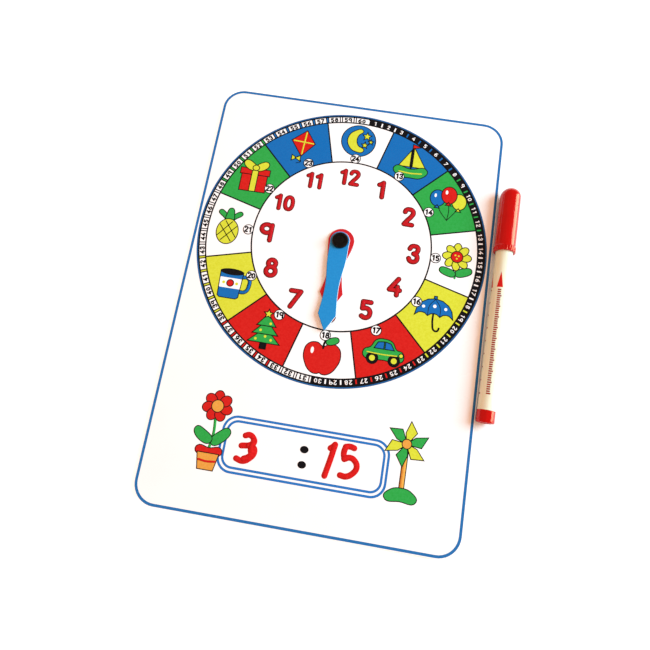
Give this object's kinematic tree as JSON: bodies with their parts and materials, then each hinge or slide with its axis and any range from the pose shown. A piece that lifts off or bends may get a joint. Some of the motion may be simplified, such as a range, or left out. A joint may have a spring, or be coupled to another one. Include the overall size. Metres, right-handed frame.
{
  "type": "teaching clock",
  "caption": "Wipe-clean teaching clock board with a printed dial, two friction hands on a snap rivet, a box for writing the time, and a capped dry-wipe pen lying beside it.",
  "frame": {"origin": "centre of the board's back face, on the surface that the board lies on", "axes": "+X towards 3 o'clock, +Y towards 12 o'clock along the board's long side, +Z out of the printed face"},
  "size_m": [0.1923, 0.26, 0.0128],
  "materials": {
    "hardboard": "fine pressed fibre, sawn edge",
    "face_laminate": "glossy wipe-clean white laminate",
    "back_laminate": "matt off-white laminate",
    "rivet_black": "satin black moulding",
    "washer_nylon": "natural nylon",
    "hand_white": "white moulding, front face printed",
    "pen_white": "glossy warm white moulding",
    "pen_red": "glossy red moulding",
    "ink_fibre": "fibre soaked with red ink",
    "nib_fibre": "pressed fibre, inked",
    "dial_print": "printed ink under the laminate's gloss",
    "hour_print": "red ink on the hour hand",
    "minute_print": "blue ink on the minute hand",
    "marker_ink": "dry-wipe ink written by hand"
  },
  "bodies": {
    "board": {"board_core": "hardboard", "face_sheet": "face_laminate", "back_sheet": "back_laminate", "pivot_cap": "rivet_black", "pivot_pin": "rivet_black", "base_washer": "washer_nylon", "middle_washer": "washer_nylon"},
    "hour_hand": {"hour_hand": "hand_white"},
    "minute_hand": {"minute_hand": "hand_white"},
    "pen": {"pen_barrel": "pen_white", "pen_end_plug": "pen_red", "pen_reservoir": "ink_fibre", "pen_nib": "nib_fibre"},
    "pen_cap": {"pen_cap": "pen_red"}
  },
  "joints": [
    {"name": "hour_turn", "type": "hinge", "parent": "board", "child": "hour_hand", "pos_m": [-0.0008, 0.0368, 0.00395], "axis": [0, 0, 1], "continuous": true},
    {"name": "minute_turn", "type": "hinge", "parent": "board", "child": "minute_hand", "pos_m": [-0.0008, 0.0368, 0.00515], "axis": [0, 0, 1], "continuous": true},
    {"name": "pen_lift", "type": "slide", "parent": "board", "child": "pen", "axis": [0, 0, 1], "range_m": [0, 0.12]},
    {"name": "cap_pull", "type": "slide", "parent": "pen", "child": "pen_cap", "axis": [0.0099, 0.9999, 0.0131], "range_m": [0, 0.045]}
  ]
}
